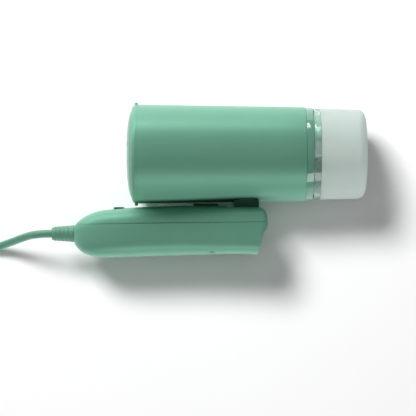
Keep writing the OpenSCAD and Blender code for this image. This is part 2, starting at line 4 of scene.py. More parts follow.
import bmesh
import bpy
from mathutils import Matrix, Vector


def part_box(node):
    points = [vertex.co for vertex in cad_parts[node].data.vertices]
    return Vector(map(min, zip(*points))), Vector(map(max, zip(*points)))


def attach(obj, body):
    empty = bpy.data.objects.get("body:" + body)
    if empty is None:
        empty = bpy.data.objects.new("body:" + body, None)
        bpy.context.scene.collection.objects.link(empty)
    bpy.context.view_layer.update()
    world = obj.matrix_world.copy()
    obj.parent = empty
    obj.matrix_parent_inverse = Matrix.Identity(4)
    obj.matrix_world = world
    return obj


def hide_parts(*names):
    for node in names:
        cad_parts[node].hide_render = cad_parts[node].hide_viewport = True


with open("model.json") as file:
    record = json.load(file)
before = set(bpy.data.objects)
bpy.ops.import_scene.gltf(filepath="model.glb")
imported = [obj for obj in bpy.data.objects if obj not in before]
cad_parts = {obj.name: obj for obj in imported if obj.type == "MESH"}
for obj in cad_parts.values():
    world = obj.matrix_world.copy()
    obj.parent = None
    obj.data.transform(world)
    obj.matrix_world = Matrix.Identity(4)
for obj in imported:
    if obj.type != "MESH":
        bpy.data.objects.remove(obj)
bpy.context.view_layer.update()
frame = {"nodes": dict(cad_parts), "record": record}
MM = 0.001


def in_mm(node):
    """Lowest and highest corner of a CAD node, in millimetres."""
    low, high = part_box(node)
    return low / MM, high / MM


# ---- Places taken from the frame ----

HEAD_LOW, HEAD_HIGH = in_mm("head_shell")
COLLAR_LOW, COLLAR_HIGH = in_mm("tank_collar")
NECK_LOW, NECK_HIGH = in_mm("tank_neck")
TANK_LOW, TANK_HIGH = in_mm("tank_shell")
PLATE_LOW, PLATE_HIGH = in_mm("steam_plate")
BEZEL_LOW, BEZEL_HIGH = in_mm("front_bezel")
PIN_LOW, PIN_HIGH = in_mm("hinge_pin")
KNUCKLE_LOW, KNUCKLE_HIGH = in_mm("hinge_bracket")
TRIGGER_LOW, TRIGGER_HIGH = in_mm("steam_trigger")
BUTTON_LOW, BUTTON_HIGH = in_mm("power_button")
RELIEF_LOW, RELIEF_HIGH = in_mm("strain_relief")
COIL_LOW, COIL_HIGH = in_mm("cord_coil")
PLUG_LOW, PLUG_HIGH = in_mm("plug_body")

MID_Z = (PIN_LOW.z + PIN_HIGH.z) / 2
HEAD_Y = (HEAD_LOW.y + HEAD_HIGH.y) / 2
HEAD_FRONT_R = (HEAD_HIGH.y - HEAD_LOW.y) / 2
HEAD_REAR_R = 34.7
HINGE_X = (PIN_LOW.x + PIN_HIGH.x) / 2
HINGE_Y = (PIN_LOW.y + PIN_HIGH.y) / 2
HINGE_DROP = HEAD_Y - HINGE_Y
CORD_Y = (RELIEF_LOW.y + RELIEF_HIGH.y) / 2
CORD_R = 2.9


# ---- Camera ----


def make_camera():
    """Looks straight down on the table, as the object lies on its side."""
    data = bpy.data.cameras.new("camera")
    data.sensor_width = 36.0
    data.lens = 157.9
    data.clip_start, data.clip_end = 0.05, 20.0
    camera = bpy.data.objects.new("camera", data)
    bpy.context.scene.collection.objects.link(camera)
    camera.location = Vector((-9.1, -20.7, MID_Z + 1350.0)) * MM
    bpy.context.scene.camera = camera


make_camera()


# ---- Curves and outlines ----


def catmull_rom(points, steps):
    """A smooth curve through points of any number of coordinates."""
    first = [2 * a - b for a, b in zip(points[0], points[1])]
    last = [2 * a - b for a, b in zip(points[-1], points[-2])]
    line = [first, *points, last]
    curve = []
    for i in range(1, len(line) - 2):
        p = line[i - 1 : i + 3]
        gaps = [max(math.dist(p[k], p[k + 1]) ** 0.5, 1e-6) for k in range(3)]
        t = [0.0, gaps[0], gaps[0] + gaps[1], sum(gaps)]
        for k in range(steps):
            s = t[1] + (t[2] - t[1]) * k / steps
            a = [mixed(p[j], p[j + 1], t[j], t[j + 1], s) for j in range(3)]
            b = [mixed(a[j], a[j + 1], t[j], t[j + 2], s) for j in range(2)]
            curve.append(mixed(b[0], b[1], t[1], t[2], s))
    curve.append(list(points[-1]))
    return curve


def mixed(a, b, ta, tb, s):
    w = (s - ta) / (tb - ta)
    return [x + (y - x) * w for x, y in zip(a, b)]


def rounded(points, steps=5):
    """Outline with its corners rounded: each point is (x, y) or (x, y, radius)."""
    outline = []
    count = len(points)
    for i, point in enumerate(points):
        corner = Vector(point[:2])
        radius = point[2] if len(point) > 2 else 0.0
        if radius <= 0:
            outline.append(tuple(corner))
            continue
        back = Vector(points[i - 1][:2]) - corner
        ahead = Vector(points[(i + 1) % count][:2]) - corner
        half = back.angle(ahead) / 2
        reach = min(radius / math.tan(half), 0.49 * back.length, 0.49 * ahead.length)
        start, end = corner + back.normalized() * reach, corner + ahead.normalized() * reach
        for k in range(steps + 1):
            w = k / steps
            outline.append(tuple(start * (1 - w) ** 2 + corner * 2 * w * (1 - w) + end * w * w))
    return outline


def eased(t):
    """Cosine step from 0 to 1."""
    return 0.5 - 0.5 * math.cos(math.pi * min(max(t, 0.0), 1.0))


# ---- Cord: its route comes from the CAD source, in metres ----

LEAD_ROUTE = [
    (-0.1245, -0.0397, 0.0372), (-0.128, -0.0398, 0.0372), (-0.132, -0.0399, 0.0367),
    (-0.1365, -0.0404, 0.0349), (-0.141, -0.0411, 0.0318), (-0.1455, -0.0424, 0.0276),
    (-0.15, -0.0439, 0.0228), (-0.155, -0.0457, 0.0174), (-0.16, -0.0474, 0.0126),
    (-0.1655, -0.0493, 0.0083), (-0.172, -0.0514, 0.005), (-0.179, -0.0533, 0.0033),
    (-0.187, -0.0549, 0.0029), (-0.196, -0.0561, 0.0031), (-0.207, -0.0567, 0.0034),
    (-0.218, -0.0568, 0.0036), (-0.228, -0.0568, 0.0037)]
TAIL_ROUTE = [
    (-0.228, -0.0452, 0.0211), (-0.236, -0.0452, 0.0211), (-0.244, -0.0452, 0.0211),
    (-0.252, -0.0452, 0.0208), (-0.26, -0.045, 0.0199), (-0.2675, -0.0436, 0.0184),
    (-0.2745, -0.0404, 0.0164), (-0.2805, -0.0356, 0.0143), (-0.285, -0.0294, 0.0122),
    (-0.2874, -0.0236, 0.0108), (-0.288, -0.018, 0.01)]
COIL_X, COIL_Y = (COIL_LOW.x + COIL_HIGH.x) / 2, (COIL_LOW.y + COIL_HIGH.y) / 2
COIL_R, COIL_Z = 32.0, 3.7
PITCH = 2 * CORD_R
# The place of each turn in the coil, as (ring, layer), and where its change to the next one starts.
SLOTS = [(1, 0), (0, 0), (-1, 0), (-1, 1), (0, 1), (1, 1), (1, 2), (0, 2), (-1, 2), (-1, 3)]
STEP_STARTS = [210, 210, 168, 126, 126, 84, 42, 42, 0]
STEP_WIDTH = 150.0


def coil_points(per_turn=36):
    """The coil's turns: clockwise seen from above, each with one slow step to its next place."""
    points = []
    for turn, start in enumerate(STEP_STARTS):
        (ring_a, layer_a), (ring_b, layer_b) = SLOTS[turn], SLOTS[turn + 1]
        for k in range(per_turn):
            turned = 360.0 * k / per_turn
            w = eased((turned - start) / STEP_WIDTH)
            r = COIL_R + PITCH * (ring_a + (ring_b - ring_a) * w)
            z = COIL_Z + PITCH * (layer_a + (layer_b - layer_a) * w)
            angle = math.radians(-90 - turned)
            points.append((COIL_X + r * math.cos(angle), COIL_Y + r * math.sin(angle), z))
    return [tuple(v * MM for v in p) for p in points]


def line_length(points):
    return sum(math.dist(a, b) for a, b in zip(points, points[1:]))


def make_cord():
    lead = catmull_rom(LEAD_ROUTE, 4)[:-1]
    tail = catmull_rom(TAIL_ROUTE, 4)
    line = catmull_rom([lead[-1], *coil_points(), tail[0]], 3)[3:-1]
    line = lead + line + tail
    curve = bpy.data.curves.new("mains_cord", "CURVE")
    curve.dimensions = "3D"
    curve.bevel_depth = CORD_R * MM
    curve.bevel_resolution = 4
    curve.use_fill_caps = True
    spline = curve.splines.new("POLY")
    spline.points.add(len(line) - 1)
    for point, place in zip(spline.points, line):
        point.co = (*place, 1.0)
    cord = bpy.data.objects.new("mains_cord", curve)
    bpy.context.scene.collection.objects.link(cord)
    return cord, round(line_length(line), 3)


# ---- Mesh helpers ----


def mesh_piece(name, verts, faces, sharp=35.0):
    """Object from points in millimetres and faces, smooth but for its sharp edges."""
    mesh = bpy.data.meshes.new(name)
    mesh.from_pydata([tuple(c * MM for c in v) for v in verts], [], faces)
    bm = bmesh.new()
    bm.from_mesh(mesh)
    bmesh.ops.remove_doubles(bm, verts=bm.verts, dist=1e-6)
    bmesh.ops.recalc_face_normals(bm, faces=bm.faces)
    bm.to_mesh(mesh)
    bm.free()
    piece = bpy.data.objects.new(name, mesh)
    bpy.context.scene.collection.objects.link(piece)
    shade(piece, sharp)
    return piece


def shade(piece, sharp):
    piece.data.shade_smooth()
    piece.data.set_sharp_from_angle(angle=math.radians(sharp))


def lofted(name, rings, loop=False, sharp=35.0):
    """Skin over rings of equal point counts: closed at its ends, or run round into a loop."""
    n, m = len(rings[0]), len(rings)
    verts = [p for ring in rings for p in ring]
    faces = []
    for i in range(m if loop else m - 1):
        a, b = i * n, ((i + 1) % m) * n
        faces += [(a + j, a + (j + 1) % n, b + (j + 1) % n, b + j) for j in range(n)]
    if not loop:
        faces += [tuple(range(n - 1, -1, -1)), tuple((m - 1) * n + j for j in range(n))]
    return mesh_piece(name, verts, faces, sharp)


def revolved(name, outline, y, z, segments=128, sharp=35.0):
    """Closed outline of (x, radius) turned round an axis along X."""
    rings = []
    for i in range(segments):
        a = 2 * math.pi * i / segments
        rings.append([(x, y + r * math.cos(a), z + r * math.sin(a)) for x, r in outline])
    return lofted(name, rings, loop=True, sharp=sharp)


def prism(name, outline, low, high, axis="z"):
    """Solid of a flat outline, pushed along an axis from low to high."""
    place = {
        "z": lambda p, h: (p[0], p[1], h),
        "y": lambda p, h: (p[0], h, p[1]),
        "x": lambda p, h: (h, p[0], p[1])}[axis]
    return lofted(name, [[place(p, h) for p in outline] for h in (low, high)])


def across(name, outline):
    """Cutter that goes right across the handle, from one side of it to the other."""
    return prism(name, outline, MID_Z - 40, MID_Z + 40)


def disc(x, y, r, count=96):
    """Circle as a flat outline."""
    steps = [2 * math.pi * i / count for i in range(count)]
    return [(x + r * math.cos(a), y + r * math.sin(a)) for a in steps]


def round_box(x0, x1, y0, y1, radius, steps=5):
    """Rectangle with round corners as a flat outline."""
    corners = [(x0, y0, radius), (x1, y0, radius), (x1, y1, radius), (x0, y1, radius)]
    return rounded(corners, steps)


def cut(piece, operation, *tools):
    """Boolean with each tool in turn; the result replaces the piece's mesh."""
    for tool in tools:
        modifier = piece.modifiers.new("cut", "BOOLEAN")
        modifier.object = tool
        modifier.operation = operation
        modifier.solver = "MANIFOLD"
        graph = bpy.context.evaluated_depsgraph_get()
        mesh = bpy.data.meshes.new_from_object(piece.evaluated_get(graph))
        piece.modifiers.clear()
        piece.data = mesh
        bpy.data.objects.remove(tool)
    return piece


def joined(name, pieces, sharp=35.0):
    """One piece from several that don't overlap."""
    bm = bmesh.new()
    for piece in pieces:
        bm.from_mesh(piece.data)
        bpy.data.objects.remove(piece)
    mesh = bpy.data.meshes.new(name)
    bm.to_mesh(mesh)
    bm.free()
    result = bpy.data.objects.new(name, mesh)
    bpy.context.scene.collection.objects.link(result)
    shade(result, sharp)
    return result


# ---- Head ----


def make_head_casing():
    wall, x0, x1 = 2.0, HEAD_LOW.x, HEAD_HIGH.x
    r0, r1 = HEAD_FRONT_R, HEAD_REAR_R
    outline = [(x0, r0 - wall), (x0, r0 - 0.05, 0.15)]
    outline += [(x0 + (x1 - x0) * k / 8, r0 + (r1 - r0) * k / 8) for k in range(1, 8)]
    outline += [(x1, r1, 0.5), (x1, r1 - wall)]
    return revolved("head_casing", rounded(outline), HEAD_Y, MID_Z, 160)


LUG_FRONT_X, LUG_BACK_X, LUG_HALF = -63.1, -61.0, 4
LUG_ROOT_R = HEAD_FRONT_R - 1.0


def make_bezel():
    """Ring that rounds the steam end over into the plate, with a lug on each side."""
    r = HEAD_FRONT_R
    back = HEAD_LOW.x
    outline = rounded([
        (back, r - 2.3), (back, r), (back - 0.6, r), (back - 2.2, r - 0.25), (back - 3.5, r - 1.3),
        (back - 4.25, r - 2.8, 0.5), (back - 4.0, r - 3.55, 0.2), (back - 1.2, r - 3.7),
        (back + 4.0, r - 3.7), (back + 4.0, r - 2.3)])
    ring = revolved("front_ring", outline, HEAD_Y, MID_Z, 160)
    reach = (BEZEL_HIGH.y - BEZEL_LOW.y) / 2
    lugs = []
    for y0, y1 in ((HEAD_Y - reach, HEAD_Y - LUG_ROOT_R), (HEAD_Y + LUG_ROOT_R, HEAD_Y + reach - 0.4)):
        outline = round_box(LUG_FRONT_X, LUG_BACK_X, -LUG_HALF, LUG_HALF, 0.6)
        lug = lofted("lug", [[(x, y, MID_Z + z) for x, z in outline] for y in (y0, y1)])
        bevel(lug, 0.35)
        lugs.append(lug)
    return cut(ring, "UNION", *lugs)


def bevel(piece, width, segments=3, angle=40.0):
    modifier = piece.modifiers.new("bevel", "BEVEL")
    modifier.width = width * MM
    modifier.segments = segments
    modifier.limit_method = "ANGLE"
    modifier.angle_limit = math.radians(angle)
    graph = bpy.context.evaluated_depsgraph_get()
    mesh = bpy.data.meshes.new_from_object(piece.evaluated_get(graph))
    piece.modifiers.clear()
    piece.data = mesh
    shade(piece, 35.0)
    return piece


PLATE_R = (PLATE_HIGH.y - PLATE_LOW.y) / 2
PLATE_EDGE_X = BEZEL_LOW.x + 0.4
STEAM_RINGS = [(13.0, 6, 0.0), (22.0, 10, 18.0)]
HOLE_R = 1.5


def make_steam_plate():
    """Domed plate with a shallow dish round each steam hole."""
    bulge = PLATE_EDGE_X - PLATE_LOW.x
    outline = [(PLATE_HIGH.x, 0.0), (PLATE_HIGH.x, PLATE_R - 0.2)]
    for k in range(20):
        r = (PLATE_R - 0.2) * math.sin(math.radians(90 - 4.5 * k))
        outline.append((PLATE_EDGE_X - bulge * (1 - (r / PLATE_R) ** 2.6) ** 0.5, r))
    outline.append((PLATE_LOW.x, 0.0))
    plate = revolved("steam_plate_face", outline, HEAD_Y, MID_Z, 96)
    for ring_r, count, turn in STEAM_RINGS:
        for i in range(count):
            a = math.radians(360.0 * i / count + turn)
            y, z = HEAD_Y + ring_r * math.sin(a), MID_Z + ring_r * math.cos(a)
            face = PLATE_EDGE_X - bulge * (1 - (ring_r / PLATE_R) ** 2.6) ** 0.5
            hole = rounded([
                (PLATE_HIGH.x + 1, 0), (PLATE_HIGH.x + 1, HOLE_R), (face + 0.9, HOLE_R),
                (face + 0.5, HOLE_R + 0.3), (face - 1.5, HOLE_R + 2.2), (face - 1.5, 0)])
            cut(plate, "DIFFERENCE", revolved("hole", hole, y, z, 24))
    shade(plate, 40.0)
    return plate


def make_knuckle():
    """Hinge block under the head: a round knuckle, a block and a low arc against the head."""
    half = (KNUCKLE_HIGH.z - KNUCKLE_LOW.z) / 2
    left, right = KNUCKLE_LOW.x, KNUCKLE_HIGH.x
    r = HINGE_Y - KNUCKLE_LOW.y
    side = [(left, -14.8), (left, HINGE_Y + 3.0)]
    for k in range(17):
        a = math.radians(170 + 200 * k / 16)
        side.append((HINGE_X + r * math.cos(a), HINGE_Y + r * math.sin(a)))
    side += [(right, HINGE_Y + 3.0, 2.0), (right, -14.8)]
    for k in range(13):
        a = math.radians(59 + 62 * k / 12)
        side.append((HINGE_X + 0.9 + 13.9 * math.cos(a), HINGE_Y - 1.6 + 13.9 * math.sin(a)))
    block = prism("knuckle", rounded(side), MID_Z - half - 0.5, MID_Z + half + 0.5)
    bevel(block, 0.5, 3, 50.0)
    x0, x1 = HEAD_LOW.x, HEAD_HIGH.x
    gap = 0.05
    cone = [(x0, 0.0), (x0, HEAD_FRONT_R + gap), (x1, HEAD_REAR_R + gap), (x1, 0.0)]
    cut(block, "DIFFERENCE", revolved("cone", cone, HEAD_Y, MID_Z, 192))
    bore = prism("bore", disc(HINGE_X, HINGE_Y, 2.56), MID_Z - 30, MID_Z + 30)
    cut(block, "DIFFERENCE", bore)
    shade(block, 30.0)
    return block


def make_collar():
    x0, x1 = COLLAR_LOW.x, COLLAR_HIGH.x
    lip, r_in = HEAD_HIGH.x, NECK_INNER_R + 2.2
    r = (COLLAR_HIGH.y - COLLAR_LOW.y) / 2
    outline = rounded([
        (x0, r_in), (x0, r - 1.8, 0.6), (lip + 0.02, r - 1.8), (lip + 0.02, r, 0.35),
        (x1, r - 0.1, 0.45), (x1, r_in)])
    return revolved("gloss_collar", outline, HEAD_Y, MID_Z, 160)


NECK_INNER_R = 29.2


def make_neck():
    tip, cup = NECK_LOW.x, 54.0
    flange = 68.2
    end = NECK_HIGH.x
    r_flange = (NECK_HIGH.y - NECK_LOW.y) / 2
    outline = rounded([
        (tip, 1.5), (tip, 3.9, 0.5), (cup, 3.9), (cup, 31.0, 1.0), (59.0, 31.0), (59.0, 30.2),
        (61.0, 30.2), (61.0, 31.0), (flange, 31.0, 0.4), (flange, r_flange - 0.2, 0.5),
        (end, r_flange - 0.4, 0.3), (end, NECK_INNER_R, 0.3), (cup + 2, NECK_INNER_R, 1.0),
        (cup + 2, 3.6), (60.0, 3.6, 0.4), (60.0, 1.5)])
    return revolved("clear_neck", outline, HEAD_Y, MID_Z, 160)


def tank_outline(inset, front):
    """Half section of the tank, its walls moved in by inset."""
    r0 = (TANK_HIGH.y - TANK_LOW.y) / 2 - inset
    r1, edge, far = 33.0 - inset, 6.3 - inset, TANK_HIGH.x - inset
    points = [(front, r0)]
    for k in range(1, 4):
        points.append((front + (far - 1 - edge - front) * k / 4, r0 + (r1 - r0) * k / 4))
    for k in range(13):
        a = math.radians(7.5 * k)
        points.append((far - 1 - edge + edge * math.sin(a), r1 - edge + edge * math.cos(a)))
    points += [((far - 0.5), (r1 - edge) * 0.75), (far - 0.25, (r1 - edge) * 0.5)]
    points += [(far - 0.05, (r1 - edge) * 0.25), (far, 0.0)]
    return points


def make_tank():
    front = TANK_LOW.x
    outer = tank_outline(0.0, front)
    inner = tank_outline(1.8, front)
    outline = [(front, outer[0][1] - 0.35), (front + 0.35, outer[0][1]), *outer[1:], *inner[::-1]]
    return revolved("frosted_tank", outline, HEAD_Y, MID_Z, 160)


# ---- Handle ----

# Grip outline: x, upper edge, lower edge and half width.
GRIP = [
    (-107.8, -34.0, -46.5, 6.3), (-106.6, -32.0, -48.6, 9.0), (-104.5, -29.8, -51.2, 11.5),
    (-100.9, -27.2, -54.0, 14.0), (-96.4, -24.8, -55.8, 16.0), (-92.0, -23.1, -56.8, 17.3),
    (-86.0, -21.8, -57.3, 18.6), (-78.0, -21.1, -57.2, 19.6), (-66.0, -20.1, -56.8, 20.2),
    (-50.0, -19.4, -56.3, 20.6), (-30.0, -18.9, -55.7, 21.2), (0.0, -18.7, -54.8, 22.4),
    (16.0, -18.9, -54.6, 23.4), (40.0, -19.2, -56.6, 24.0)]
# Squareness of its section: 1 is an ellipse, and a lower figure is squarer.
NOSE_POWER, HINGE_POWER = 0.68, 0.52
GRIP_WALL = 2.2
# From here to the hinge end the rings are 1 mm apart, and its last part spreads out slightly.
EVEN_FROM_X, EVEN_LENGTH = 12.0, 28
# Round edge of the cheeks that hold the hinge pin, and the slanted cut under it.
EAR_X, EAR_Y, EAR_R = HINGE_X + 2.0, HINGE_Y - 3.5, 14.7
END_SLANT, END_REACH = math.radians(15.0), 15.9
# Room for the knuckle between the cheeks.
WELL_R, WELL_HALF = 15.5, 15.1
SEAM_NOSE_Y, SEAM_END_Y = -32.6, -30.4
SCREW_SPOTS = [(-66, 12), (-66, -12), (-6, 14), (-6, -14)]


def signed_power(value, power):
    return math.copysign(abs(value) ** power, value)


def ear_fall(x, y):
    """How far the side of the grip falls in towards the round edge of its ear."""
    away = math.hypot(x - EAR_X, y - EAR_Y)
    angle = math.degrees(math.atan2(y - EAR_Y, x - EAR_X))
    spread = eased((angle + 52) / 14) * eased((110 - angle) / 20)
    return 1.9 * spread * min(max((away - EAR_R + 2.9) / 2.9, 0.0), 1.6)


def grip_solid(name, inset, inset_nose=None, x_end=40.0, count=96):
    """Closed solid of the grip, its skin moved in by inset, and by inset_nose at the nose."""
    nose = inset if inset_nose is None else inset_nose
    rings = []
    for x, top, bottom, half in catmull_rom(GRIP, 7):
        if x > EVEN_FROM_X:
            break
        rings.append((x, top, bottom, half))
    for k in range(EVEN_LENGTH + 1):
        x = EVEN_FROM_X + k
        w = k / EVEN_LENGTH
        rings.append((x, -18.85 - 0.35 * w, -54.6 - 2.0 * w * w, 23.2 + 0.8 * w))
    skin = []
    for x, top, bottom, half in rings:
        if x > x_end:
            break
        w = eased((x + 104.0) / 150.0)
        d = nose + (inset - nose) * w
        middle, tall = (top + bottom) / 2, (top - bottom) / 2 - d
        power = NOSE_POWER + (HINGE_POWER - NOSE_POWER) * eased((x + 40.0) / 55.0)
        ring = []
        for j in range(count):
            a = 2 * math.pi * (j + 0.5) / count
            y = middle + tall * signed_power(math.sin(a), power)
            z = (half - d) * signed_power(math.cos(a), power)
            if x > HINGE_X and abs(z) > 2.0:
                z -= math.copysign(min(ear_fall(x, y), abs(z) - 1.0), z)
            ring.append((max(x, GRIP[0][0] + d), y, MID_Z + z))
        skin.append(ring)
    skin = [ring for ring, after in zip(skin, skin[1:] + [None]) if after is None or ring[0][0] < after[0][0]]
    return lofted(name, skin)


def head_clear(z):
    """Distance from the hinge axis to the unfolded head's surface, z off the middle."""
    return HINGE_DROP - math.sqrt((HEAD_REAR_R + 0.8) ** 2 - z * z)


def end_outline():
    """Side outline of what is kept at the hinge end: the ear and the slanted cut."""
    n = Vector((math.cos(-END_SLANT), math.sin(-END_SLANT)))
    low = (END_REACH - n.y * (-60 - HINGE_Y)) / n.x
    outline = [(HINGE_X + low, -60.0)]
    for k in range(41):
        a = math.radians(-42.0 + 132.0 * k / 40)
        outline.append((EAR_X + EAR_R * math.cos(a), EAR_Y + EAR_R * math.sin(a)))
    return [*outline, (EAR_X, 60.0), (-140.0, 60.0), (-140.0, -60.0)]


def sweep_cutter():
    """Room for the head as it turns: a ring round the hinge, flared like the head's tube."""
    rows = []
    for k in range(-11, 12):
        z = 2.1 * k
        rows.append((z, head_clear(z) - 0.45))
    rings = []
    for step in range(25):
        a = math.radians(-2.0 + 104.0 * step / 24)
        ring = [(HINGE_X + r * math.cos(a), HINGE_Y + r * math.sin(a), MID_Z + z) for z, r in rows]
        far = [(HINGE_X + 45 * math.cos(a), HINGE_Y + 45 * math.sin(a), MID_Z + z) for z in (26, -26)]
        rings.append(ring + far)
    return lofted("sweep", rings)


def seam_half(above):
    """Everything above or below the seam between the two shells of the grip."""
    step = 0.04 if above else -0.04
    far = 60.0 if above else -90.0
    outline = [(-140.0, SEAM_NOSE_Y + step - 0.5), (50.0, SEAM_END_Y + step), (50.0, far), (-140.0, far)]
    return across("half", outline)


def seam_groove():
    """Narrow slit along the seam, only in the outer skin."""
    half = 0.13
    outline = [
        (-140.0, SEAM_NOSE_Y - 0.5 - half), (50.0, SEAM_END_Y - half), (50.0, SEAM_END_Y + half),
        (-140.0, SEAM_NOSE_Y - 0.5 + half)]
    slit = across("slit", outline)
    return cut(slit, "DIFFERENCE", grip_solid("core", 0.6))


def make_shell(name, above):
    """Half of the hollow grip, above or below the seam, cut free of the head's swing."""
    shell = grip_solid(name, 0.1 if above else 0.0, 0.45 if above else 0.0)
    cavity = grip_solid("cavity", GRIP_WALL, x_end=HINGE_X + 8)
    side = HINGE_X - WELL_R - GRIP_WALL
    room = [(-140, 60), (side, 60), (side, HINGE_Y - WELL_R - GRIP_WALL)]
    room += [(HINGE_X + 6, HINGE_Y - WELL_R - GRIP_WALL), (HINGE_X + 6, -90), (-140, -90)]
    cut(cavity, "INTERSECT", across("room", room))
    cut(shell, "DIFFERENCE", cavity)
    cut(shell, "INTERSECT", across("end", end_outline()), seam_half(above))
    saddle = prism(
        "saddle", disc(HINGE_X + HINGE_DROP, MID_Z, HEAD_REAR_R + 1.3, 160), -80, HINGE_Y + 1, "y")
    well = prism("well", disc(HINGE_X, HINGE_Y, WELL_R), MID_Z - WELL_HALF, MID_Z + WELL_HALF)
    cut(shell, "DIFFERENCE", saddle, sweep_cutter(), well, seam_groove())
    return shell


def hub(r, y0, y1, x, z, count=40):
    """Round cutter or post along Y."""
    return prism("hub", disc(x, MID_Z + z, r, count), y0, y1, "y")


def make_back_shell():
    """Lower shell of the grip, with posts for its screws under flush caps."""
    shell = make_shell("grip_back_shell", False)
    for x, z in SCREW_SPOTS:
        post = hub(4.2, -55.0, -36.2, x, z)
        cut(post, "INTERSECT", grip_solid("core", 0.6))
        cut(shell, "UNION", post)
        rim = cut(hub(3.0, -60, -45, x, z), "DIFFERENCE", hub(2.8, -61, -44, x, z))
        cut(rim, "DIFFERENCE", grip_solid("core", 0.45))
        cut(shell, "DIFFERENCE", rim)
    relief_hole = [(-112, 0), (-112, 4.7), (-102, 4.7), (-102, 0)]
    cut(shell, "DIFFERENCE", revolved("relief_hole", relief_hole, CORD_Y, MID_Z, 48))
    shade(shell, 30.0)
    return shell


def make_front_cover():
    """Upper shell of the grip, with slots for the trigger and the button."""
    shell = make_shell("grip_front_cover", True)
    slots = []
    for low, high, gap, lip, corner in (
            (TRIGGER_LOW, TRIGGER_HIGH, 0.4, 1.6, 2.4), (BUTTON_LOW, BUTTON_HIGH, 0.3, 1.2, 1.6)):
        half = (high.z - low.z) / 2 - lip + gap
        x0, x1 = low.x + lip - gap, high.x - lip + gap
        outline = round_box(x0, x1, MID_Z - half, MID_Z + half, corner)
        slots.append(prism("slot", outline, -27, -10, "y"))
    cut(shell, "DIFFERENCE", *slots)
    shade(shell, 30.0)
    return shell


def pad(name, low, high, lip, corner, fillet, crown, dish=0.0):
    """Pressed pad: a rounded block with a wider lip under the cover."""
    top, base = high.y, low.y
    x0, x1 = low.x + lip, high.x - lip
    half = (high.z - low.z) / 2 - lip
    middle = (x0 + x1) / 2
    rings = []

    def ring(y, grow, rise=0.0):
        outline = round_box(
            x0 - grow, x1 + grow, -half - grow, half + grow, max(corner + min(grow, 0), 0.4), 6)
        points = []
        for x, z in outline:
            hollow = dish * (1 - ((x - middle) / (x1 - middle)) ** 2)
            points.append((x, y + rise - hollow, MID_Z + z))
        return points

    lip_y = base + 1.9
    rings.append(ring(base, lip - 0.3))
    rings.append(ring(base + 0.3, lip))
    rings.append(ring(lip_y, lip))
    rings.append(ring(lip_y, 0.0))
    rings.append(ring(top - fillet, 0.0))
    for k in range(1, 6):
        a = math.radians(18 * k)
        rings.append(ring(top - fillet + fillet * math.sin(a), -fillet * (1 - math.cos(a))))
    reach = half - fillet - 0.5
    for k in range(1, 6):
        shrink = reach * k / 5.2
        rings.append(ring(top, -fillet - shrink, crown * eased(k / 5)))
    return lofted(name, rings)


def make_relief():
    """Tapered boot with a few soft ribs, and its neck and flange inside the nose."""
    x0 = RELIEF_LOW.x
    outline = [(x0, CORD_R + 0.06), (x0, 4.4, 0.5), (x0 + 1.6, 5.0)]
    for k in range(4):
        start = x0 + 3.0 + 3.0 * k
        r = 5.35 + 0.2 * k
        outline += [(start, r), (start + 0.5, r - 0.28), (start + 0.9, r - 0.28), (start + 1.4, r + 0.03)]
    outline += [(-107.95, 6.3, 0.2), (-107.95, 4.5), (-104.6, 4.5), (-104.6, 7.0, 0.3)]
    outline += [(-102.0, 7.0, 0.3), (-102.0, CORD_R + 0.06)]
    return revolved("cord_boot", rounded(outline, 3), CORD_Y, MID_Z, 64)


def make_tie():
    """Flat band pulled round all the turns of the coil."""
    inner, outer = COIL_R - 1.5 * PITCH, COIL_R + 1.5 * PITCH
    top = COIL_Z + CORD_R + 2 * PITCH
    thick = 0.8
    section = [
        (inner - 0.1, thick, 2.6), (outer + 0.1, thick, 2.6), (outer + 0.1, top + 0.1, 2.8),
        (inner + 6.2, top + PITCH + 0.1, 2.6), (inner - 0.1, top + PITCH + 0.1, 2.8)]
    shape = rounded(section, 7)
    middle = Vector(((inner + outer) / 2, (top + PITCH) / 2))
    turn = math.radians(35)
    rings = []
    for across, lift in ((-4.0, 0.0), (-3.8, thick), (3.8, thick), (4.0, 0.0), (3.6, 0.0), (-3.6, 0.0)):
        ring = []
        for i, p in enumerate(shape):
            before, after = Vector(shape[i - 1]), Vector(shape[(i + 1) % len(shape)])
            along = (after - before).normalized()
            out = Vector((along.y, -along.x))
            if out.dot(Vector(p) - middle) < 0:
                out = -out
            r, z = Vector(p) + out * min(lift, max(p[1], 0.0) if out.y < -0.5 else lift)
            x = COIL_X + r * math.cos(turn) - across * math.sin(turn)
            y = COIL_Y + r * math.sin(turn) + across * math.cos(turn)
            ring.append((x, y, max(z, 0.06)))
        rings.append(ring)
    band = lofted("coil_tie", rings, loop=True)
    return band


PLUG_SECTIONS = [
    # along, half width, half height, squareness
    (0.0, 3.6, 3.6, 1.0), (0.5, 4.2, 4.2, 1.0), (2.6, 4.7, 4.7, 1.0), (2.9, 4.3, 4.3, 1.0),
    (3.9, 4.4, 4.4, 1.0), (4.2, 5.0, 5.0, 1.0), (6.2, 5.4, 5.4, 1.0), (6.5, 4.9, 4.9, 1.0),
    (7.5, 5.1, 5.1, 1.0), (7.8, 5.8, 5.8, 1.0), (10.5, 6.6, 6.5, 1.0), (13.0, 8.4, 7.2, 0.95),
    (16.0, 11.8, 8.2, 0.85), (19.0, 15.0, 9.0, 0.75), (22.5, 17.4, 9.6, 0.66), (26.0, 18.4, 9.8, 0.6),
    (31.0, 18.9, 9.9, 0.58), (35.3, 19.0, 9.9, 0.58), (36.1, 18.7, 9.6, 0.58), (36.5, 18.0, 8.9, 0.58)]


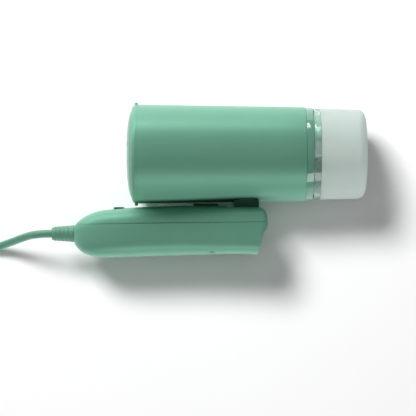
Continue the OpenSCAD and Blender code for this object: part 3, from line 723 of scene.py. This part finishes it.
def make_plug():
    x, z = (PLUG_LOW.x + PLUG_HIGH.x) / 2, (PLUG_LOW.z + PLUG_HIGH.z) / 2
    rings = []
    for along, wide, tall, power in PLUG_SECTIONS:
        ring = []
        for j in range(72):
            a = 2 * math.pi * j / 72
            ring.append((
                x + wide * signed_power(math.cos(a), power), PLUG_LOW.y + along,
                z + tall * signed_power(math.sin(a), power)))
        rings.append(ring)
    plug = lofted("mains_plug", rings)
    for side in (-1, 1):
        for k in range(3):
            y = PLUG_LOW.y + 24.0 + 3.4 * k
            slot = round_box(x + side * 21 - 3.4, x + side * 21 + 3.4, y, y + 1.5, 0.6)
            cut(plug, "DIFFERENCE", prism("slot", slot, z - 7, z + 7))
    shade(plug, 32.0)
    return plug


def make_plug_pins():
    low, high = in_mm("plug_pins")
    r = (high.z - low.z) / 2
    z = (high.z + low.z) / 2
    pins = []
    for x in (low.x + r, high.x - r):
        profile = rounded([(low.y, 0.0), (low.y, r), (high.y, r, 1.4), (high.y, 0.0)], 6)
        rings = []
        for i in range(48):
            a = 2 * math.pi * i / 48
            rings.append([(x + q * math.cos(a), y, z + q * math.sin(a)) for y, q in profile])
        pins.append(lofted("pin", rings, loop=True))
    return joined("plug_pin_pair", pins)


# ---- Materials ----


def new_material(name):
    material = bpy.data.materials.new(name)
    material.use_nodes = True
    tree = material.node_tree
    return material, tree, tree.nodes["Principled BSDF"]


def noise_node(tree, place, scale, detail, rough=0.55):
    node = tree.nodes.new("ShaderNodeTexNoise")
    node.inputs["Scale"].default_value = scale
    node.inputs["Detail"].default_value = detail
    node.inputs["Roughness"].default_value = rough
    tree.links.new(place, node.inputs["Vector"])
    return node.outputs["Fac"]


def ramp(tree, factor, stops):
    node = tree.nodes.new("ShaderNodeValToRGB")
    elements = node.color_ramp.elements
    while len(elements) < len(stops):
        elements.new(0.5)
    for element, (position, colour) in zip(elements, stops):
        element.position = position
        element.color = (*colour, 1.0)
    tree.links.new(factor, node.inputs["Fac"])
    return node.outputs["Color"]


def spread_of(tree, factor, low, high):
    node = tree.nodes.new("ShaderNodeMapRange")
    node.inputs["To Min"].default_value = low
    node.inputs["To Max"].default_value = high
    tree.links.new(factor, node.inputs["Value"])
    return node.outputs["Result"]


def shaded(colour, share):
    return tuple(min(c * share, 1.0) for c in colour)


def surface(name, colour, rough, tone=0.03, tone_scale=40.0, grain=0.0, grain_scale=2500.0,
            metal=0.0, stretch=(1, 1, 1), **sockets):
    """Procedural finish: slow tone changes, uneven gloss and a fine moulded grain."""
    material, tree, shader = new_material(name)
    coordinates = tree.nodes.new("ShaderNodeTexCoord")
    mapping = tree.nodes.new("ShaderNodeMapping")
    mapping.inputs["Scale"].default_value = stretch
    tree.links.new(coordinates.outputs["Object"], mapping.inputs["Vector"])
    place = mapping.outputs["Vector"]
    slow = noise_node(tree, place, tone_scale, 3.0)
    stops = [(0.3, shaded(colour, 1 - tone)), (0.7, shaded(colour, 1 + tone))]
    tree.links.new(ramp(tree, slow, stops), shader.inputs["Base Color"])
    uneven = noise_node(tree, place, tone_scale * 7, 4.0)
    tree.links.new(spread_of(tree, uneven, rough * 0.9, rough * 1.1), shader.inputs["Roughness"])
    shader.inputs["Metallic"].default_value = metal
    if grain:
        fine = noise_node(tree, place, grain_scale, 2.0, 0.6)
        bump = tree.nodes.new("ShaderNodeBump")
        bump.inputs["Strength"].default_value = grain
        bump.inputs["Distance"].default_value = 0.00005
        tree.links.new(fine, bump.inputs["Height"])
        tree.links.new(bump.outputs["Normal"], shader.inputs["Normal"])
    for socket, value in sockets.items():
        shader.inputs[socket.replace("_", " ")].default_value = value
    return material


MINT = (0.205, 0.510, 0.362)


def make_materials():
    """One finish for each material slot of the record."""
    return {
        "mint_shell": surface(
            "satin_mint", MINT, 0.42, 0.02, 25.0, 0.25, 3200.0, Specular_IOR_Level=0.8,
            Specular_Tint=(0.45, 1.0, 0.75, 1.0), Sheen_Weight=0.35, Sheen_Roughness=0.35),
        "mint_gloss": surface("gloss_mint", shaded(MINT, 0.95), 0.1, 0.02, 30.0, Coat_Weight=0.6,
                              Coat_Roughness=0.03),
        # Painted shade: this is the mint darkened to about 0.4, standing in for the shadow that the knuckle
        # and trigger lie in under the head; the power key shares it.
        "dark_mint": surface("shade_darkened_mint", (0.075, 0.235, 0.155), 0.38, 0.03, 60.0, 0.25),
        "steam_plate": surface("coated_plate", (0.17, 0.42, 0.30), 0.3, 0.03, 50.0, 0.3, 1800.0),
        "tank_frosted": surface(
            "frosted_tank_plastic", (0.86, 0.96, 0.92), 0.45, 0.015, 30.0, 0.35, 2600.0,
            Transmission_Weight=0.5, IOR=1.3),
        "tank_clear": surface(
            "clear_tank_plastic", (0.66, 0.88, 0.79), 0.06, 0.01, 30.0,
            Transmission_Weight=0.85, IOR=1.49),
        "steel": surface("zinc_steel", (0.58, 0.59, 0.61), 0.32, 0.06, 300.0, 0.4, 1500.0, 1.0),
        "aluminium": surface("cast_aluminium", (0.66, 0.67, 0.69), 0.48, 0.08, 180.0, 0.9, 900.0, 1.0),
        "brass": surface("turned_brass", (0.62, 0.44, 0.19), 0.3, 0.06, 250.0, 0.4, 1200.0, 1.0),
        "copper": surface("enamelled_copper", (0.60, 0.22, 0.09), 0.28, 0.1, 900.0, 0.8, 1600.0, 0.9,
                          (1, 0.2, 0.2)),
        "rubber": surface("black_rubber", (0.022, 0.024, 0.024), 0.62, 0.15, 120.0, 0.6, 1400.0),
        "silicone": surface("milky_silicone", (0.72, 0.72, 0.67), 0.42, 0.04, 90.0, 0.3, 1500.0,
                            Subsurface_Weight=0.2),
        "cord": surface("mint_pvc", (0.165, 0.43, 0.30), 0.48, 0.04, 90.0, 0.5, 1500.0),
        "black_plastic": surface("black_moulding", (0.022, 0.022, 0.025), 0.46, 0.1, 150.0, 0.5, 2000.0),
        "board": surface("solder_mask", (0.012, 0.13, 0.05), 0.25, 0.2, 700.0, 0.5, 1200.0),
        "wire": surface("wire_insulation", (0.16, 0.04, 0.02), 0.4, 0.1, 400.0, 0.3),
    }


# ---- Build ----

materials = make_materials()
steamer = bpy.data.collections.new("steamer")
bpy.context.scene.collection.children.link(steamer)
slot_of = {part["node"]: part["material_slot"] for part in frame["record"]["subparts"]}


def dress(piece, slot, body=None, nodes=()):
    """Gives a piece its finish, its body and the CAD nodes that it stands for."""
    piece.data.materials.clear()
    piece.data.materials.append(materials[slot])
    steamer.objects.link(piece)
    if body:
        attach(piece, body)
    if nodes:
        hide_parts(*nodes)
    return piece


cord, cord_length = make_cord()
boot = make_relief()
tie = make_tie()
plug = make_plug()
pins = make_plug_pins()
dress(cord, "cord", "handle", ("cord_lead", "cord_coil", "cord_tail"))
dress(boot, "cord", "handle", ("strain_relief",))
dress(tie, "rubber", "handle", ("cord_tie",))
dress(plug, "cord", "handle", ("plug_body",))
dress(pins, "steel", "handle", ("plug_pins",))

dress(make_head_casing(), "mint_shell", "head", ("head_shell",))
dress(make_bezel(), "mint_shell", "head", ("front_bezel",))
dress(make_steam_plate(), "steam_plate", "head", ("steam_plate",))
dress(make_knuckle(), "dark_mint", "head", ("hinge_bracket",))
dress(make_collar(), "mint_gloss", "head", ("tank_collar",))
neck = dress(make_neck(), "tank_clear", "tank", ("tank_neck",))
tank = dress(make_tank(), "tank_frosted", "tank", ("tank_shell",))
dress(make_back_shell(), "mint_shell", "handle", ("handle_back_shell",))
dress(make_front_cover(), "mint_shell", "handle", ("handle_front_cover",))
trigger = pad("trigger_pad", TRIGGER_LOW, TRIGGER_HIGH, 1.6, 2.2, 0.9, 0.0, 0.25)
dress(trigger, "dark_mint", "trigger", ("steam_trigger",))
button = pad("power_key", BUTTON_LOW, BUTTON_HIGH, 1.2, 1.4, 0.5, 0.15)
dress(button, "dark_mint", "button", ("power_button",))

for name, node in frame["nodes"].items():
    if not node.hide_render:
        dress(node, slot_of[name])


# ---- Floor and light ----


def make_floor():
    material, tree, shader = new_material("pale_floor")
    coordinates = tree.nodes.new("ShaderNodeTexCoord")
    tone = noise_node(tree, coordinates.outputs["Object"], 3.0, 2.0)
    tree.links.new(
        ramp(tree, tone, [(0.3, (0.90, 0.90, 0.90)), (0.7, (0.92, 0.92, 0.92))]),
        shader.inputs["Base Color"])
    shader.inputs["Roughness"].default_value = 0.9
    shader.inputs["Specular IOR Level"].default_value = 0.0
    size = 6000.0
    corners = [(-size, -size, 0), (size, -size, 0), (size, size, 0), (-size, size, 0)]
    floor = mesh_piece("floor", corners, [(0, 1, 2, 3)])
    floor.data.materials.append(material)
    return floor


floor = make_floor()
stage_set = bpy.data.collections.new("stage")
bpy.context.scene.collection.children.link(stage_set)
stage_set.objects.link(floor)


def area_light(name, place, aim, size, power, receivers=None, colour=(1, 1, 1)):
    """Soft rectangular light in metres; receivers limits what it lights."""
    data = bpy.data.lights.new(name, "AREA")
    data.shape = "RECTANGLE"
    data.size, data.size_y = size
    data.energy = power
    data.color = colour
    light = bpy.data.objects.new(name, data)
    bpy.context.scene.collection.objects.link(light)
    light.location = place
    light.rotation_euler = (Vector(aim) - Vector(place)).to_track_quat("-Z", "Y").to_euler()
    if receivers:
        light.light_linking.receiver_collection = receivers
    return light


area_light("key_box", (-0.5, 1.0, 0.41), (0, 0.02, 0.04), (1.5, 0.34), 14.0, steamer)
area_light("fill_box", (0.15, -1.05, 0.62), (0, -0.02, 0.04), (1.4, 0.5), 8.0, steamer)
area_light("floor_box", (-1.05, 1.5, 2.28), (0, 0, 0), (0.9, 0.9), 95.0, stage_set)
area_light("floor_top", (0.3, -0.3, 2.6), (0, 0, 0), (2.6, 2.6), 20.0, stage_set)


# A light of its own for the tank, because frosted plastic looks too dark under the others.
tank_set = bpy.data.collections.new("tank_light")
bpy.context.scene.collection.children.link(tank_set)
for piece in (tank, neck):
    tank_set.objects.link(piece)
area_light("tank_box", (0.09, 0.25, 1.2), (0.09, 0.02, 0.04), (0.9, 0.9), 5.0, tank_set)


def make_world():
    world = bpy.data.worlds.new("studio")
    bpy.context.scene.world = world
    world.use_nodes = True
    background = world.node_tree.nodes["Background"]
    background.inputs["Color"].default_value = (1, 1, 1, 1)
    background.inputs["Strength"].default_value = 0.05


make_world()
bpy.context.scene.view_settings.view_transform = "Standard"
